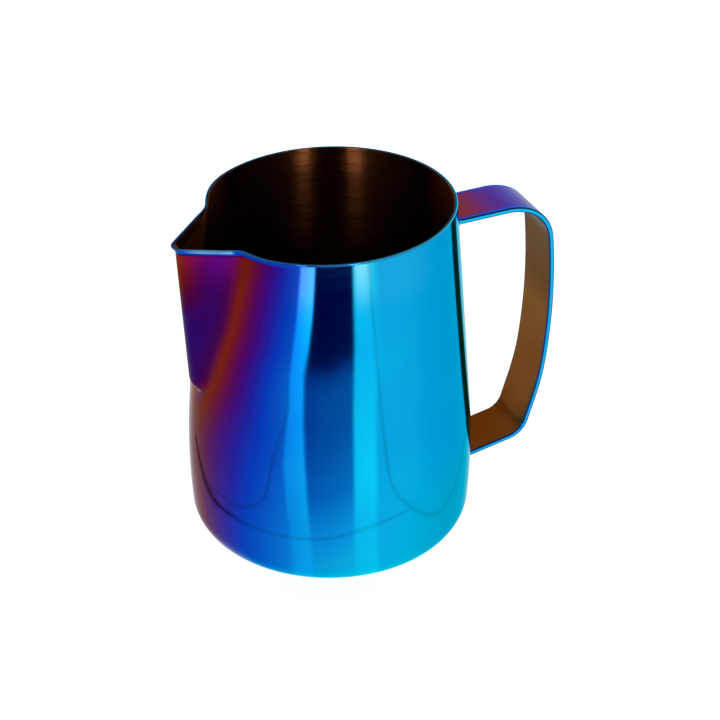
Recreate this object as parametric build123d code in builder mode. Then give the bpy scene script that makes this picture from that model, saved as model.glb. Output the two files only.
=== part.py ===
from build123d import *
from math import cos, radians, sin, sqrt, tan
import os

# Milk frothing pitcher, nominal 600 ml, pressed from stainless steel sheet.
# Frame: +Z up, origin at the centre of the resting plane on the axis of the round body,
# spout towards -X, handle towards +X. Both sides of the XZ plane are alike.
# Lengths in millimetres, angles in degrees. "Reach" is distance from the axis towards -X.

# ---- round body, from the resting plane upwards ----
HEIGHT = 112.0               # rim above the resting plane, measured on the axis
BELLY_RADIUS = 44.9          # widest outer radius
WALL = 1.0                   # sheet thickness
CORNER_RADIUS = 11.0         # bend between the base and the side
CORNER_ARC = 86.0            # angle turned by that bend
BELLY_BEND = 235.0           # slow bend from the corner, past the widest level, to the cone
LEAN = 4.35                  # inward lean of the straight upper wall
OVERHEIGHT = 10.0            # how far the untrimmed body stands above the rim

# ---- underside ----
RECESS = 1.0                 # height of the stamped-in middle of the base
RECESS_RADIUS = 24.5         # flat middle of the recess
REST_INNER_RADIUS = 27.0     # inner edge of the flat ring that the jug stands on
RECESS_BEND = 1.8            # rounding at both edges of the recess, outside and inside alike

# ---- rim, seen from the side ----
RIM_TILT = 1.43              # slow fall of the whole rim towards the spout
DIP_TILT = 10.43             # steeper fall of the rim along the spout
DIP_START = 27.5             # reach where the steeper fall begins
DIP_BEND = 100.0             # radius of the change between the two falls
RIM_ROUNDING = 0.35          # softened edges of the trimmed sheet

# ---- spout: a round nose between two flat cheeks ----
NOSE_REACH = 46.0            # reach of the nose line at NOSE_LEVEL
NOSE_LEVEL = 63.0
NOSE_LEAN = 3.41             # outward lean of the nose line
NOSE_RADIUS_LOW = 5.6
NOSE_RADIUS_HIGH = 3.5
CHIN_REACH = 43.3            # where the underside of the spout leaves the body
CHIN_LEVEL = 56.6
CHIN_SLOPE = 0.8             # reach gained by the underside for each millimetre of height
CHIN_DEPTH = 3.0             # how far the underside is carried on below, inside the body
CHIN_BEND = 3.0              # rounding between the underside and the nose line
CHEEK_ANGLE_LOW = 51.0       # each cheek from the middle plane, at the chin
CHEEK_ANGLE_HIGH = 40.0      # the same, just below the lip
CHEEK_ROOT = 20.0            # reach where the cheeks end, buried in the body
CREASE_RADIUS = 4.0          # hollow rounding where a cheek leaves the body

# ---- pouring lip: the last of the spout, flared outwards ----
LIP_HEIGHT = 2.6
LIP_FLARE = 1.65             # added reach at the nose
LIP_CHEEK_ANGLE = 38.0       # the flare fades towards the rear of each cheek
LIP_OVERRUN = 5.0            # how far the flare is carried past the rim before trimming
LIP_BEND = 3.0               # rounding between the spout and its flare

# ---- handle: one flat strap, bent to this path from its upper end down ----
STRAP_WIDTH = 17.6
STRAP_THICKNESS = 1.7
STRAP_EDGE_ROUNDING = 0.4
STRAP_START_X = 34.49        # both ends start inside the wall and are cut to it
STRAP_START_Z = 101.4
UPPER_RUN = 21.54
UPPER_RUN_RISE = 1.98        # slight rise of the upper run away from the body
SHOULDER_EASE = (19.0, 21.5)  # radius and turned angle, as in each bend below
SHOULDER_BEND = (13.2, 64.9)
GRIP_BOW = (196.9, 12.57)
GRIP_CURL = (85.3, 10.32)
GRIP_END = 8.4               # straight stretch above the lower bend
LOWER_BEND = (7.26, 60.97)
LOWER_RUN = 20.0

# ---- welds between the strap and the body ----
WELD_LEG = 0.8               # leg of the bead that runs round each strap end
WELD_SLOPE_SHARE = 0.75      # share of the leg taken by the bead's sloping face

# ---- sizes that follow from those above ----
FOOT_RADIUS = (BELLY_RADIUS - CORNER_RADIUS * sin(radians(CORNER_ARC))
               - BELLY_BEND * (1 - sin(radians(CORNER_ARC))))
NOSE_SLOPE = tan(radians(NOSE_LEAN))
DIP_LEVEL = HEIGHT - DIP_START * tan(radians(RIM_TILT))
LIP_ON_AXIS = DIP_LEVEL + DIP_START * tan(radians(DIP_TILT))


def level_plane(height):
    """Horizontal plane whose local X points out along the spout."""
    return Plane(origin=(0, 0, height), x_dir=(-1, 0, 0))


def lip_plane(height_on_axis):
    """Plane parallel to the dipping rim, local X pointing out along the spout."""
    fall = radians(DIP_TILT)
    return Plane(
        origin=(0, 0, height_on_axis),
        x_dir=(-cos(fall), 0, -sin(fall)),
        z_dir=(-sin(fall), 0, cos(fall)),
    )


def spout_section(plane, reach, nose_radius, cheek_angle):
    """Outline of the spout in one plane: nose arc, two cheeks and a straight back."""
    centre = reach - nose_radius
    nose_turn = 90.0 - cheek_angle
    touch_x = centre + nose_radius * cos(radians(nose_turn))
    touch_y = nose_radius * sin(radians(nose_turn))
    root_y = touch_y + (touch_x - CHEEK_ROOT) * tan(radians(cheek_angle))
    with BuildSketch(plane) as section:
        with BuildLine():
            nose = CenterArc((centre, 0), nose_radius, -nose_turn, 2 * nose_turn)
            Polyline(nose @ 1, (CHEEK_ROOT, root_y), (CHEEK_ROOT, -root_y), nose @ 0)
        make_face()
    return section.sketch


def edges_on(part, plane):
    """Edges of the spout's outside that lie in one plane, without its buried back."""
    return (
        part.edges()
        .filter_by(lambda edge: abs(plane.to_local_coords(edge.center()).Z) < 0.01)
        .filter_by(lambda edge: edge.center().X < -CHEEK_ROOT - WALL)
    )


def spout_form(inset):
    """Filled spout from its underside to its flared lip, drawn in by `inset`."""
    chin_reach = CHIN_REACH - inset * sqrt(1 + CHIN_SLOPE**2)
    nose_at_chin = NOSE_REACH - inset + (CHIN_LEVEL - NOSE_LEVEL) * NOSE_SLOPE
    knee_rise = (nose_at_chin - chin_reach) / (CHIN_SLOPE - NOSE_SLOPE)
    knee_level = CHIN_LEVEL + knee_rise
    stretch = 1 / cos(radians(DIP_TILT))
    lip_foot_level = LIP_ON_AXIS - LIP_HEIGHT - NOSE_REACH * tan(radians(DIP_TILT))
    lip_foot_reach = NOSE_REACH - inset + (lip_foot_level - NOSE_LEVEL) * NOSE_SLOPE
    flare = LIP_FLARE * (LIP_HEIGHT + LIP_OVERRUN) / LIP_HEIGHT
    knee_plane = level_plane(knee_level)
    lip_foot_plane = lip_plane(LIP_ON_AXIS - LIP_HEIGHT)
    sections = [
        spout_section(
            level_plane(CHIN_LEVEL - CHIN_DEPTH),
            chin_reach - CHIN_DEPTH * CHIN_SLOPE,
            NOSE_RADIUS_LOW - inset,
            CHEEK_ANGLE_LOW,
        ),
        spout_section(
            knee_plane,
            nose_at_chin + knee_rise * NOSE_SLOPE,
            NOSE_RADIUS_LOW - inset,
            CHEEK_ANGLE_LOW,
        ),
        spout_section(
            lip_foot_plane,
            lip_foot_reach * stretch,
            NOSE_RADIUS_HIGH - inset,
            CHEEK_ANGLE_HIGH,
        ),
        spout_section(
            lip_plane(LIP_ON_AXIS + LIP_OVERRUN),
            (lip_foot_reach + flare) * stretch,
            NOSE_RADIUS_HIGH - inset,
            LIP_CHEEK_ANGLE,
        ),
    ]
    with BuildPart() as spout:
        loft(sections, ruled=True)
        fillet(edges_on(spout, knee_plane), radius=CHIN_BEND)
        fillet(edges_on(spout, lip_foot_plane), radius=LIP_BEND)
    return spout.part


def body_form(inset):
    """Filled round body, drawn in by `inset`, standing OVERHEIGHT above the rim."""
    with BuildPart() as body:
        with BuildSketch(Plane.XZ):
            with BuildLine():
                base = FilletPolyline(
                    (0, RECESS + inset),
                    (RECESS_RADIUS, RECESS + inset),
                    (REST_INNER_RADIUS, inset),
                    (FOOT_RADIUS, inset),
                    radius=RECESS_BEND,
                )
                corner = JernArc(base @ 1, (1, 0), CORNER_RADIUS - inset, CORNER_ARC)
                belly = JernArc(corner @ 1, corner % 1, BELLY_BEND - inset, 90 - CORNER_ARC + LEAN)
                cone_length = (HEIGHT + OVERHEIGHT - (belly @ 1).Y) / cos(radians(LEAN))
                cone = PolarLine(belly @ 1, cone_length, direction=belly % 1)
                Polyline(cone @ 1, (0, HEIGHT + OVERHEIGHT), base @ 0)
            make_face()
        revolve(axis=Axis.Z)
    return body.part


def jug_form(inset, crease_radius):
    """Filled body and spout in one, with the creases between them rounded hollow."""
    with BuildPart() as form:
        add(body_form(inset))
        add(spout_form(inset))
        creases = form.edges(Select.NEW).sort_by(Axis.Z)[:-1]
        fillet(creases, radius=crease_radius)
    return form.part


def strap_form(growth):
    """Handle strap with both ends running on through the wall, grown by `growth`."""
    with BuildPart() as strap:
        with BuildSketch(Plane.XZ):
            with BuildLine():
                upper_run = PolarLine((STRAP_START_X, STRAP_START_Z), UPPER_RUN, UPPER_RUN_RISE)
                ease = JernArc(upper_run @ 1, upper_run % 1, SHOULDER_EASE[0], -SHOULDER_EASE[1])
                bend = JernArc(ease @ 1, ease % 1, SHOULDER_BEND[0], -SHOULDER_BEND[1])
                bow = JernArc(bend @ 1, bend % 1, GRIP_BOW[0], -GRIP_BOW[1])
                curl = JernArc(bow @ 1, bow % 1, GRIP_CURL[0], -GRIP_CURL[1])
                grip_end = PolarLine(curl @ 1, GRIP_END, direction=curl % 1)
                low_bend = JernArc(grip_end @ 1, grip_end % 1, LOWER_BEND[0], -LOWER_BEND[1])
                PolarLine(low_bend @ 1, LOWER_RUN, direction=low_bend % 1)
                offset(amount=STRAP_THICKNESS / 2 + growth)
            make_face()
        extrude(amount=STRAP_WIDTH / 2 + growth, both=True)
    return strap.part


os.makedirs("parts", exist_ok=True)

outer_form = jug_form(0, CREASE_RADIUS)

# ---- jug body: round body and spout, one pressed shell of even thickness ----
with BuildPart() as jug_body:
    add(outer_form)
    add(jug_form(WALL, CREASE_RADIUS + WALL), mode=Mode.SUBTRACT)
    with BuildSketch(Plane.XZ):
        with BuildLine():
            far = 2 * BELLY_RADIUS
            rim = FilletPolyline(
                (far, HEIGHT + far * tan(radians(RIM_TILT))),
                (-DIP_START, DIP_LEVEL),
                (-far, LIP_ON_AXIS - far * tan(radians(DIP_TILT))),
                radius=DIP_BEND,
            )
            Polyline(rim @ 1, (-far, HEIGHT + far), (far, HEIGHT + far), rim @ 0)
        make_face()
    extrude(amount=BELLY_RADIUS, both=True, mode=Mode.SUBTRACT)
    fillet(jug_body.edges(Select.NEW), radius=RIM_ROUNDING)

# ---- handle strap, both ends cut to the round of the body ----
with BuildPart() as whole_strap:
    add(strap_form(0))
    side_edges = whole_strap.edges().group_by(Axis.Y)
    fillet(side_edges[0] + side_edges[-1], radius=STRAP_EDGE_ROUNDING)

with BuildPart() as handle_strap:
    add(whole_strap.part)
    add(outer_form, mode=Mode.SUBTRACT)

# ---- weld seams: a low sloping bead on the body all round each strap end ----
with BuildPart() as weld_slabs:
    add(strap_form(WELD_LEG))
    add(body_form(-WELD_LEG), mode=Mode.INTERSECT)
    add(body_form(0), mode=Mode.SUBTRACT)
lower_slab, upper_slab = weld_slabs.solids().sort_by(Axis.Z)


def weld_ring(slab):
    """Bead round one strap end, from a slab that covers the joint."""
    with BuildPart() as ring:
        add(slab)
        crown = ring.faces().sort_by(lambda face: face.center().X)[-1]
        chamfer(crown.edges(), length=WELD_LEG * WELD_SLOPE_SHARE)
        add(whole_strap.part, mode=Mode.SUBTRACT)
    return ring.part


with BuildPart() as upper_weld:
    add(weld_ring(upper_slab))

with BuildPart() as lower_weld:
    add(weld_ring(lower_slab))

# ---- labels and files, one per piece ----
jug_body.part.label = "jug_body"
handle_strap.part.label = "handle_strap"
upper_weld.part.label = "upper_weld"
lower_weld.part.label = "lower_weld"

export_step(jug_body.part, "parts/jug_body.step")
export_step(handle_strap.part, "parts/handle_strap.step")
export_step(upper_weld.part, "parts/upper_weld.step")
export_step(lower_weld.part, "parts/lower_weld.step")
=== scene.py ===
from math import atan2, cos, pi, radians, sin, tan

import bpy
import numpy as np
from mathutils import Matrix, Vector


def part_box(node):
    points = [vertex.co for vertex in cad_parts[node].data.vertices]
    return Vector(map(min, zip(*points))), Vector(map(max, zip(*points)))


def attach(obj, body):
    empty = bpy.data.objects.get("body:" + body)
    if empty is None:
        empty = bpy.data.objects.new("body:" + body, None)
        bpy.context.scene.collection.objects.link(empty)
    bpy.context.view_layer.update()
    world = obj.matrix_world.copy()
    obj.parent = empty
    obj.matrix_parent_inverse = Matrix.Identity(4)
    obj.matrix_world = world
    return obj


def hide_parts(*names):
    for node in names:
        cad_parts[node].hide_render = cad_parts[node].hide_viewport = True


# Milk frothing pitcher in polished steel with a rainbow coating. Frame as in the CAD:
# +Z up, origin under the axis of the round body, spout towards -X, handle towards +X.
# Lengths in millimetres until a mesh is made. "Turn" is the angle round the axis from the spout,
# in degrees in the tables.

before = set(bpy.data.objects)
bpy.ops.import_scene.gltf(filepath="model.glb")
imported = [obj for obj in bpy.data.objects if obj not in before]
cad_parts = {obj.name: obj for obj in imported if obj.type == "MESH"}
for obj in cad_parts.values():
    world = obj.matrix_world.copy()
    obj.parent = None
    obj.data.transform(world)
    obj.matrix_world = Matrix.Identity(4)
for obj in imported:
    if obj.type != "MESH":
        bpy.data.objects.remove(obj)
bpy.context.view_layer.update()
jug_low, jug_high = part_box("jug_body")
strap_low, strap_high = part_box("handle_strap")

MM = 0.001

# ---- round body, as in the CAD ----
BELLY_RADIUS = jug_high.y / MM
TIP_REACH = -jug_low.x / MM
HEIGHT = 112.0
WALL = 1.0
CORNER_RADIUS = 11.0
CORNER_ARC = 86.0
BELLY_BEND = 235.0
LEAN = 4.35
RECESS = 1.0
RECESS_RADIUS = 24.5
REST_INNER_RADIUS = 27.0
RECESS_BEND = 1.8
EDGE_ROUNDING = 0.15         # softened top edge of the sheet

# ---- rim and spout, as in the CAD ----
RIM_FALL = 0.02475
DIP_START = 27.5
DIP_FALL = 0.159
DIP_SOFTNESS = 8.0
CHIN_LEVEL = 56.6
CHIN_SLOPE = 0.80
CHIN_SOFTNESS = 1.6
NOSE_REACH = 46.0
NOSE_LEVEL = 63.0
NOSE_SLOPE = 0.0596
NOSE_RADII = (5.6, 3.5)      # at the chin and at the rim, as in each pair below
CHEEK_ANGLES = (51.0, 40.0)
CREASE_SOFTNESS = (0.6, 3.0)
WAIST_DEPTH = 2.2            # slight hollow of the body wall beside each crease
WAIST_TURN = 22.0
WAIST_WIDTH = 16.0
LIP_HEIGHT = 2.6
LIP_TURN = 16.0              # the flare is full up to here and gone LIP_FADE later
LIP_FADE = 10.0
LIP_ROUNDING_LOSS = 0.05     # reach that the flare loses in the rounded top edge
WAIST_GROWTH = 1.5           # power of the height above the chin with which the hollow deepens
CHEEK_TURNING = (0.25, 0.75) # start and span of the height over which the cheeks turn
LEAST_FACING = 0.2           # keeps a cheek's distance finite where it turns away
RIM_PASSES = 12              # rounds in which the rim's level and reach settle

# ---- handle strap, as in the CAD ----
STRAP_WIDTH = (strap_high.y - strap_low.y) / MM
STRAP_THICKNESS = 1.7
STRAP_ROUNDING = 0.4
STRAP_START = (34.48, 101.4)
STRAP_RISE = 1.98
STRAP_PATH = (               # straight runs (length, 0) and bends (radius, turned angle)
    (21.54, 0.0),
    (19.0, 21.5),
    (13.2, 64.9),
    (196.9, 12.57),
    (85.3, 10.32),
    (8.4, 0.0),
    (7.26, 60.97),
    (20.0, 0.0),
)
STRAP_SINK = 0.45            # depth of both strap ends inside the sheet of the body

# ---- spacing of the meshes ----
COLUMN_RUNS = ((0, 3, 0.25), (3, 34, 0.7), (34, 90, 1.25))   # from turn, to turn, step
REAR_COLUMNS = 56            # columns from turn 90 to turn 180
LIP_FOOT = 103.5             # a level below the flare of the lip all the way round
WALL_RUNS = ((52, 1.6), (64, 0.6), (LIP_FOOT, 1.3))          # up to level, step
FLARE_APPROACH = (0.0, 0.35, 0.7, 1.0)                       # shares of the way up to the flare
FLARE_ROWS = 9
INSIDE_SPACING = 1.35        # rows inside are this much wider apart than outside
TOP_EDGE_STEPS = 12          # steps over the rounded top edge
TOP_EDGE_POWER = 0.7         # below 1 the top edge is squarer than a circle
INNER_EDGE_ROWS = 3          # rows of the top edge that already have the steel of the inside
HUB_RADIUS = 3.0             # innermost row of the base
RECESS_ROWS = 8
RECESS_GAP = 0.3             # between the last of those rows and the bend of the recess
BEND_STEPS = 5
REST_ROWS = 4
REST_GAPS = (0.5, 0.4)       # between the bends on both sides and the rows of the resting ring
CORNER_STEPS = 16
STRAP_BEND_STEP = 0.9
STRAP_STRAIGHT_STEP = 1.0
STRAP_FEWEST_STEPS = (6, 4)  # in a bend, in a straight run
NEAR_EDGE = (0.06, 0.4, 0.8, 1.2, 1.6, 2.0)   # points of the strap's section, from its edges
FLAT_POINTS = 7              # points between those of the two edges
FLAT_MARGIN = 3.0            # where the flat points start, from the edge
SIDE_SHARE = 0.9             # place of the outer two points on the strap's narrow sides
ROUND_STEPS = 5              # steps round each rounded corner of the section
WALL_PASSES = 20             # rounds in which a strap end settles in the wall
STATION_GAPS = (0.9, 0.2)    # clear of the wall at the strap's start, and anywhere else


# ------------------------ form of the jug

def soft_min(a, b, k):
    h = np.clip(k - np.abs(a - b), 0, None) / k
    return np.minimum(a, b) - h**3 * k / 6


def soft_max(a, b, k):
    h = np.clip(k - np.abs(a - b), 0, None) / k
    return np.maximum(a, b) + h**3 * k / 6


def smooth_step(x):
    x = np.clip(x, 0, 1)
    return x * x * (3 - 2 * x)


def ramp(value, start, width):
    """0 up to start, then smoothly up to 1 over a width; with a negative width, downwards."""
    return smooth_step((value - start) / width)


def bell(value, centre, half_width):
    """1 at a centre, falling off smoothly to both sides."""
    return np.exp(-(((value - centre) / half_width) ** 2))


def between(pair, share):
    return pair[0] + (pair[1] - pair[0]) * share


ARC = radians(CORNER_ARC)
CORNER_TOP = CORNER_RADIUS * (1 - cos(ARC))
BELLY_LEVEL = CORNER_TOP + BELLY_BEND * cos(ARC)
CONE_LEVEL = BELLY_LEVEL + BELLY_BEND * sin(radians(LEAN))
CONE_RADIUS = BELLY_RADIUS - BELLY_BEND * (1 - cos(radians(LEAN)))
FOOT_RADIUS = BELLY_RADIUS - CORNER_RADIUS * sin(ARC) - BELLY_BEND * (1 - sin(ARC))


def body_radius(z):
    """Outer radius of the round body above the bend of its base."""
    bend = BELLY_RADIUS - BELLY_BEND + np.sqrt(
        np.clip(BELLY_BEND**2 - (z - BELLY_LEVEL) ** 2, 0, None))
    cone = CONE_RADIUS - (z - CONE_LEVEL) * tan(radians(LEAN))
    return np.where(z < CONE_LEVEL, bend, cone)


def ridge_reach(z):
    """Reach of the nose line of the spout, and of its underside below the chin."""
    nose = NOSE_REACH + (z - NOSE_LEVEL) * NOSE_SLOPE
    underside = body_radius(np.float64(CHIN_LEVEL)) + (z - CHIN_LEVEL) * CHIN_SLOPE
    return soft_min(nose, underside, CHIN_SOFTNESS)


def rim_level(reach):
    dip = soft_max(DIP_FALL * (reach - DIP_START), 0 * reach, DIP_SOFTNESS * DIP_FALL)
    return HEIGHT - RIM_FALL * reach - dip


LIP_FLARE = TIP_REACH - float(ridge_reach(rim_level(np.float64(TIP_REACH)))) + LIP_ROUNDING_LOSS


def form_radius(turn, z, rim, inset):
    """Distance of the wall from the axis, outside for inset 0 and inside for inset WALL."""
    turn = np.abs(turn)
    share = np.clip((z - CHIN_LEVEL) / (HEIGHT - CHIN_LEVEL), 0, 1)
    waist = WAIST_DEPTH * share**WAIST_GROWTH * bell(np.degrees(turn), WAIST_TURN, WAIST_WIDTH)
    body = body_radius(z) - inset - waist
    nose = between(NOSE_RADII, share)
    cheek = np.radians(between(CHEEK_ANGLES, ramp(share, *CHEEK_TURNING)))
    facing = pi / 2 - cheek
    centre = ridge_reach(z) - nose
    nose = nose - inset
    touch = np.arctan2(nose * np.sin(facing), centre + nose * np.cos(facing))
    on_nose = centre * np.cos(turn) + np.sqrt(
        np.clip(nose**2 - (centre * np.sin(turn)) ** 2, 0, None))
    on_cheek = (centre * np.cos(facing) + nose) / np.clip(np.cos(turn - facing), LEAST_FACING, None)
    spout = np.where(turn < touch, on_nose, on_cheek)
    spout = np.where(turn > facing, 0, spout)
    radius = soft_max(body, spout, between(CREASE_SOFTNESS, share))
    along = 1 - ramp(np.degrees(turn), LIP_TURN, LIP_FADE)
    rise = np.clip((z - rim + LIP_HEIGHT) / LIP_HEIGHT, 0, 1)
    return radius + LIP_FLARE * along * rise**2


def column_turns():
    """Turns of the mesh columns, closest together over the nose and the cheeks."""
    runs = [np.arange(*run) for run in COLUMN_RUNS]
    half = np.concatenate(runs + [np.linspace(90, 180, REAR_COLUMNS)])
    return np.radians(np.concatenate([half, -half[-2:0:-1]]))


TURNS = column_turns()


def rim_heights():
    """Rim level of every column, where its wall meets the tilted and dipping rim."""
    rim = np.full(TURNS.shape, HEIGHT)
    for _ in range(RIM_PASSES):
        reach = form_radius(TURNS, rim, rim, 0.0) * np.cos(TURNS)
        rim = rim_level(reach)
    return rim


RIM = rim_heights()


def wall_rows(spacing):
    """Levels of the wall rows from the base bend to the lip, one list entry per row."""
    rows = []
    start = CORNER_TOP
    for stop, step in WALL_RUNS:
        rows += [np.full(TURNS.shape, z) for z in np.arange(start, stop, step * spacing)]
        start = stop
    below = RIM - LIP_HEIGHT
    rows += [LIP_FOOT + (below - LIP_FOOT) * share for share in FLARE_APPROACH]
    steps = int(FLARE_ROWS / spacing)
    top = RIM - EDGE_ROUNDING
    rows += [below + (top - below) * k / steps for k in range(1, steps + 1)]
    return rows


def base_profile(inset):
    """Radius and level of the base rows, from near the axis out to the wall."""
    floor = RECESS + inset
    slope_run = REST_INNER_RADIUS - RECESS_RADIUS
    bend = atan2(RECESS, slope_run)
    cut = RECESS_BEND * tan(bend / 2)
    hub_rows = np.linspace(HUB_RADIUS, RECESS_RADIUS - cut - RECESS_GAP, RECESS_ROWS)
    points = [(r, floor) for r in hub_rows]
    for k in range(BEND_STEPS + 1):
        a = bend * k / BEND_STEPS
        points.append((RECESS_RADIUS - cut + RECESS_BEND * sin(a),
                       floor - RECESS_BEND * (1 - cos(a))))
    for k in range(BEND_STEPS + 1):
        a = bend * (1 - k / BEND_STEPS)
        points.append((REST_INNER_RADIUS + cut - RECESS_BEND * sin(a),
                       inset + RECESS_BEND * (1 - cos(a))))
    rest_start = REST_INNER_RADIUS + cut + REST_GAPS[0]
    points += [(r, inset) for r in np.linspace(rest_start, FOOT_RADIUS - REST_GAPS[1], REST_ROWS)]
    bend_radius = CORNER_RADIUS - inset
    for k in range(CORNER_STEPS):
        a = ARC * k / CORNER_STEPS
        points.append((FOOT_RADIUS + bend_radius * sin(a), inset + bend_radius * (1 - cos(a))))
    return points


def ring(radius, z):
    """Points of one mesh row; radius and level may vary round the axis."""
    radius = np.broadcast_to(radius, TURNS.shape)
    z = np.broadcast_to(z, TURNS.shape)
    return np.stack([-radius * np.cos(TURNS), -radius * np.sin(TURNS), z], axis=1)


# ------------------------ coating of the jug, and the light and shade painted on it

# The coating is a clear film whose colour follows its thickness. It is thinnest, and copper
# coloured, along each crease of the spout, and thickens round the body to cyan. Light and shade
# are painted over it: its brightness is raised for painted highlights and lowered for painted
# shade, and a pale painted highlight is mixed in along the lip, the top edge and below the rim.
# The thickness, the painted brightness and the painted highlight are the same on both sides.
COPPER = 0.21                # film at the crease, on the scale of FILM_COLOURS
CYAN = 0.965                 # film over the sides and the back
TEAL = 1.0                   # film low on the sides
NOSE_FILM = 0.24             # film along the nose, just below the lip
LIP_FILM = 0.70              # least film in the band below the rim, which turns the lip blue
RIM_FILM = 0.72              # film on the top edge of the lip
RIM_FILM_GAIN = 0.25         # what is added to it round the sides and the back
INSIDE_FILM = 0.5            # the material of the inside doesn't read it
# level, turn of the thinnest line in degrees
CREASE_LINE = ((0, 0.0), (45, 0.0), (55, 6.0), (65, 14.5), (75, 18.8), (85, 23.2),
               (104, 28.0), (112, 30.0))
# level, how far the film at that line has already thickened
CREASE_FILM = ((0, 0.16), (25, 0.15), (45, 0.10), (55, 0.04), (112, 0.02))
# level, turn in degrees over which most of the change to cyan is spread
FILM_SPREAD = ((0, 34.0), (25, 39.0), (45, 42.0), (55, 36.0), (65, 29.0), (75, 26.0), (112, 26.0))
SPREAD_POWER = 1.33
# level, share of the change to cyan that is reached on the cheeks
CHEEK_FILM = ((55, 0.36), (88, 0.36), (106, 0.27))
CHEEK_SPREAD = 7.0           # turn over which that share is reached
CHEEK_POWER = 1.5
# level, painted brightness of the film's colour on the cheeks: painted shade low down, painted
# highlight near the rim
CHEEK_PAINTED_SHADING = ((55, 0.58), (82, 0.60), (94, 0.66), (100, 1.0), (105, 1.5), (112, 1.6))
NOSE_WIDTH = 8.0             # half width in degrees of turn
BAND_DEPTH = 2.2             # depth of the blue band
BAND_LOSS = 0.7              # what the band loses of its depth past the lip
BAND_SOFTNESS = 0.7
LIP_HIGHLIGHT = 0.75              # most of the pale painted highlight along the lip, then its depth and half width
LIP_HIGHLIGHT_DEPTH = 0.7
LIP_HIGHLIGHT_WIDTH = 0.45
UPPER_HIGHLIGHT = 0.022         # faint painted highlight below the rim
UPPER_HIGHLIGHT_STOP = 0.5           # that painted highlight stops this far below the rim
RIM_HIGHLIGHT = 0.15              # painted highlight all along the top edge, then what lip and sides add
RIM_HIGHLIGHT_LIP = 0.4
RIM_HIGHLIGHT_SIDES = 0.18
RIM_PAINTED_SHADE = 0.08              # painted shade: brightness on the half of the top edge towards the inside
RIM_PAINTED_LIGHT_GAIN = 0.82         # painted light that the half towards the outside adds
SHADE_LINE_DEPTH = 1.9             # painted shade: dark line under the lip, its half width and its darkness
SHADE_LINE_WIDTH = 0.3
SHADE_LINE_DARKNESS = 0.6
# start and width of smooth steps: over turns in degrees, and over levels
LOW_SIDE_TURN = (60, 60)
LOW_SIDE_LEVEL = (70, -60)
NOSE_LEVEL_RAMP = (80, 18)
PAST_LIP = (21, 5)
LIP_START = (3, 7)
LIP_END = (20.0, 2.2)
UPPER_HIGHLIGHT_TURN = (48, 10)
UPPER_HIGHLIGHT_LEVEL = (94, 9)
RIM_FILM_TURN = (60, 30)
RIM_HIGHLIGHT_TURN = (50, 25)
OUTWARD = (0.05, 0.5)        # over the cosine of the angle round the top edge, 1 outside
CHEEK_SHADING_TURN = (0, 8.0)   # measured from the crease on to the cheek
CHEEK_SHADING_LEVEL = (55, 6.0)
SHADE_LINE_TURN = (26, -6)


def from_table(table, at, index=1):
    """Value in one column of a table at a level, distance or bearing of its first column."""
    return np.interp(at, [row[0] for row in table], [row[index] for row in table])


def outside_film(turn, z, rim):
    """Film thickness on the outside, from 0 for thin to 1 for thick."""
    turn = np.degrees(np.abs(turn))
    side = turn - from_table(CREASE_LINE, z)
    thin = from_table(CREASE_FILM, z)
    behind = np.clip(side, 0, None) / from_table(FILM_SPREAD, z)
    ahead = np.clip(-side, 0, None) / CHEEK_SPREAD
    rear = 1 - np.exp(-(behind**SPREAD_POWER))
    front = from_table(CHEEK_FILM, z) * (1 - np.exp(-(ahead**CHEEK_POWER)))
    film = COPPER + (CYAN - COPPER) * (thin + (1 - thin) * np.where(side > 0, rear, front))
    film = film + (TEAL - CYAN) * ramp(side, *LOW_SIDE_TURN) * ramp(z, *LOW_SIDE_LEVEL)
    on_nose = bell(turn, 0, NOSE_WIDTH) * ramp(z, *NOSE_LEVEL_RAMP)
    film = film + (NOSE_FILM - film) * on_nose
    band = ramp(z, rim - BAND_DEPTH + BAND_LOSS * ramp(turn, *PAST_LIP), BAND_SOFTNESS)
    return np.maximum(film, film + (LIP_FILM - film) * band)


def lip_share(turn):
    """1 along both sides of the pouring lip, 0 at its tip and past its ends."""
    turn = np.degrees(np.abs(turn))
    return ramp(turn, *LIP_START) * (1 - ramp(turn, *LIP_END))


def outside_painted_highlight(turn, z, rim):
    """Share of the pale painted highlight: along the pouring lip, and a faint band below the rim.
    """
    lip = LIP_HIGHLIGHT * lip_share(turn) * bell(z, rim - LIP_HIGHLIGHT_DEPTH, LIP_HIGHLIGHT_WIDTH)
    upper_band = ramp(np.degrees(np.abs(turn)), *UPPER_HIGHLIGHT_TURN) * ramp(z, *UPPER_HIGHLIGHT_LEVEL)
    return lip + UPPER_HIGHLIGHT * upper_band * (z < rim - UPPER_HIGHLIGHT_STOP)


def rim_film_and_painted_light(turn, outward):
    """Film, painted brightness and painted highlight on the top edge: painted shade and no
    highlight on the half towards the inside.
    """
    degrees = np.degrees(np.abs(turn))
    film = RIM_FILM + RIM_FILM_GAIN * ramp(degrees, *RIM_FILM_TURN)
    highlighted = (RIM_HIGHLIGHT + RIM_HIGHLIGHT_LIP * lip_share(turn)
            + RIM_HIGHLIGHT_SIDES * ramp(degrees, *RIM_HIGHLIGHT_TURN))
    return film, RIM_PAINTED_SHADE + RIM_PAINTED_LIGHT_GAIN * outward, outward * highlighted


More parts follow.
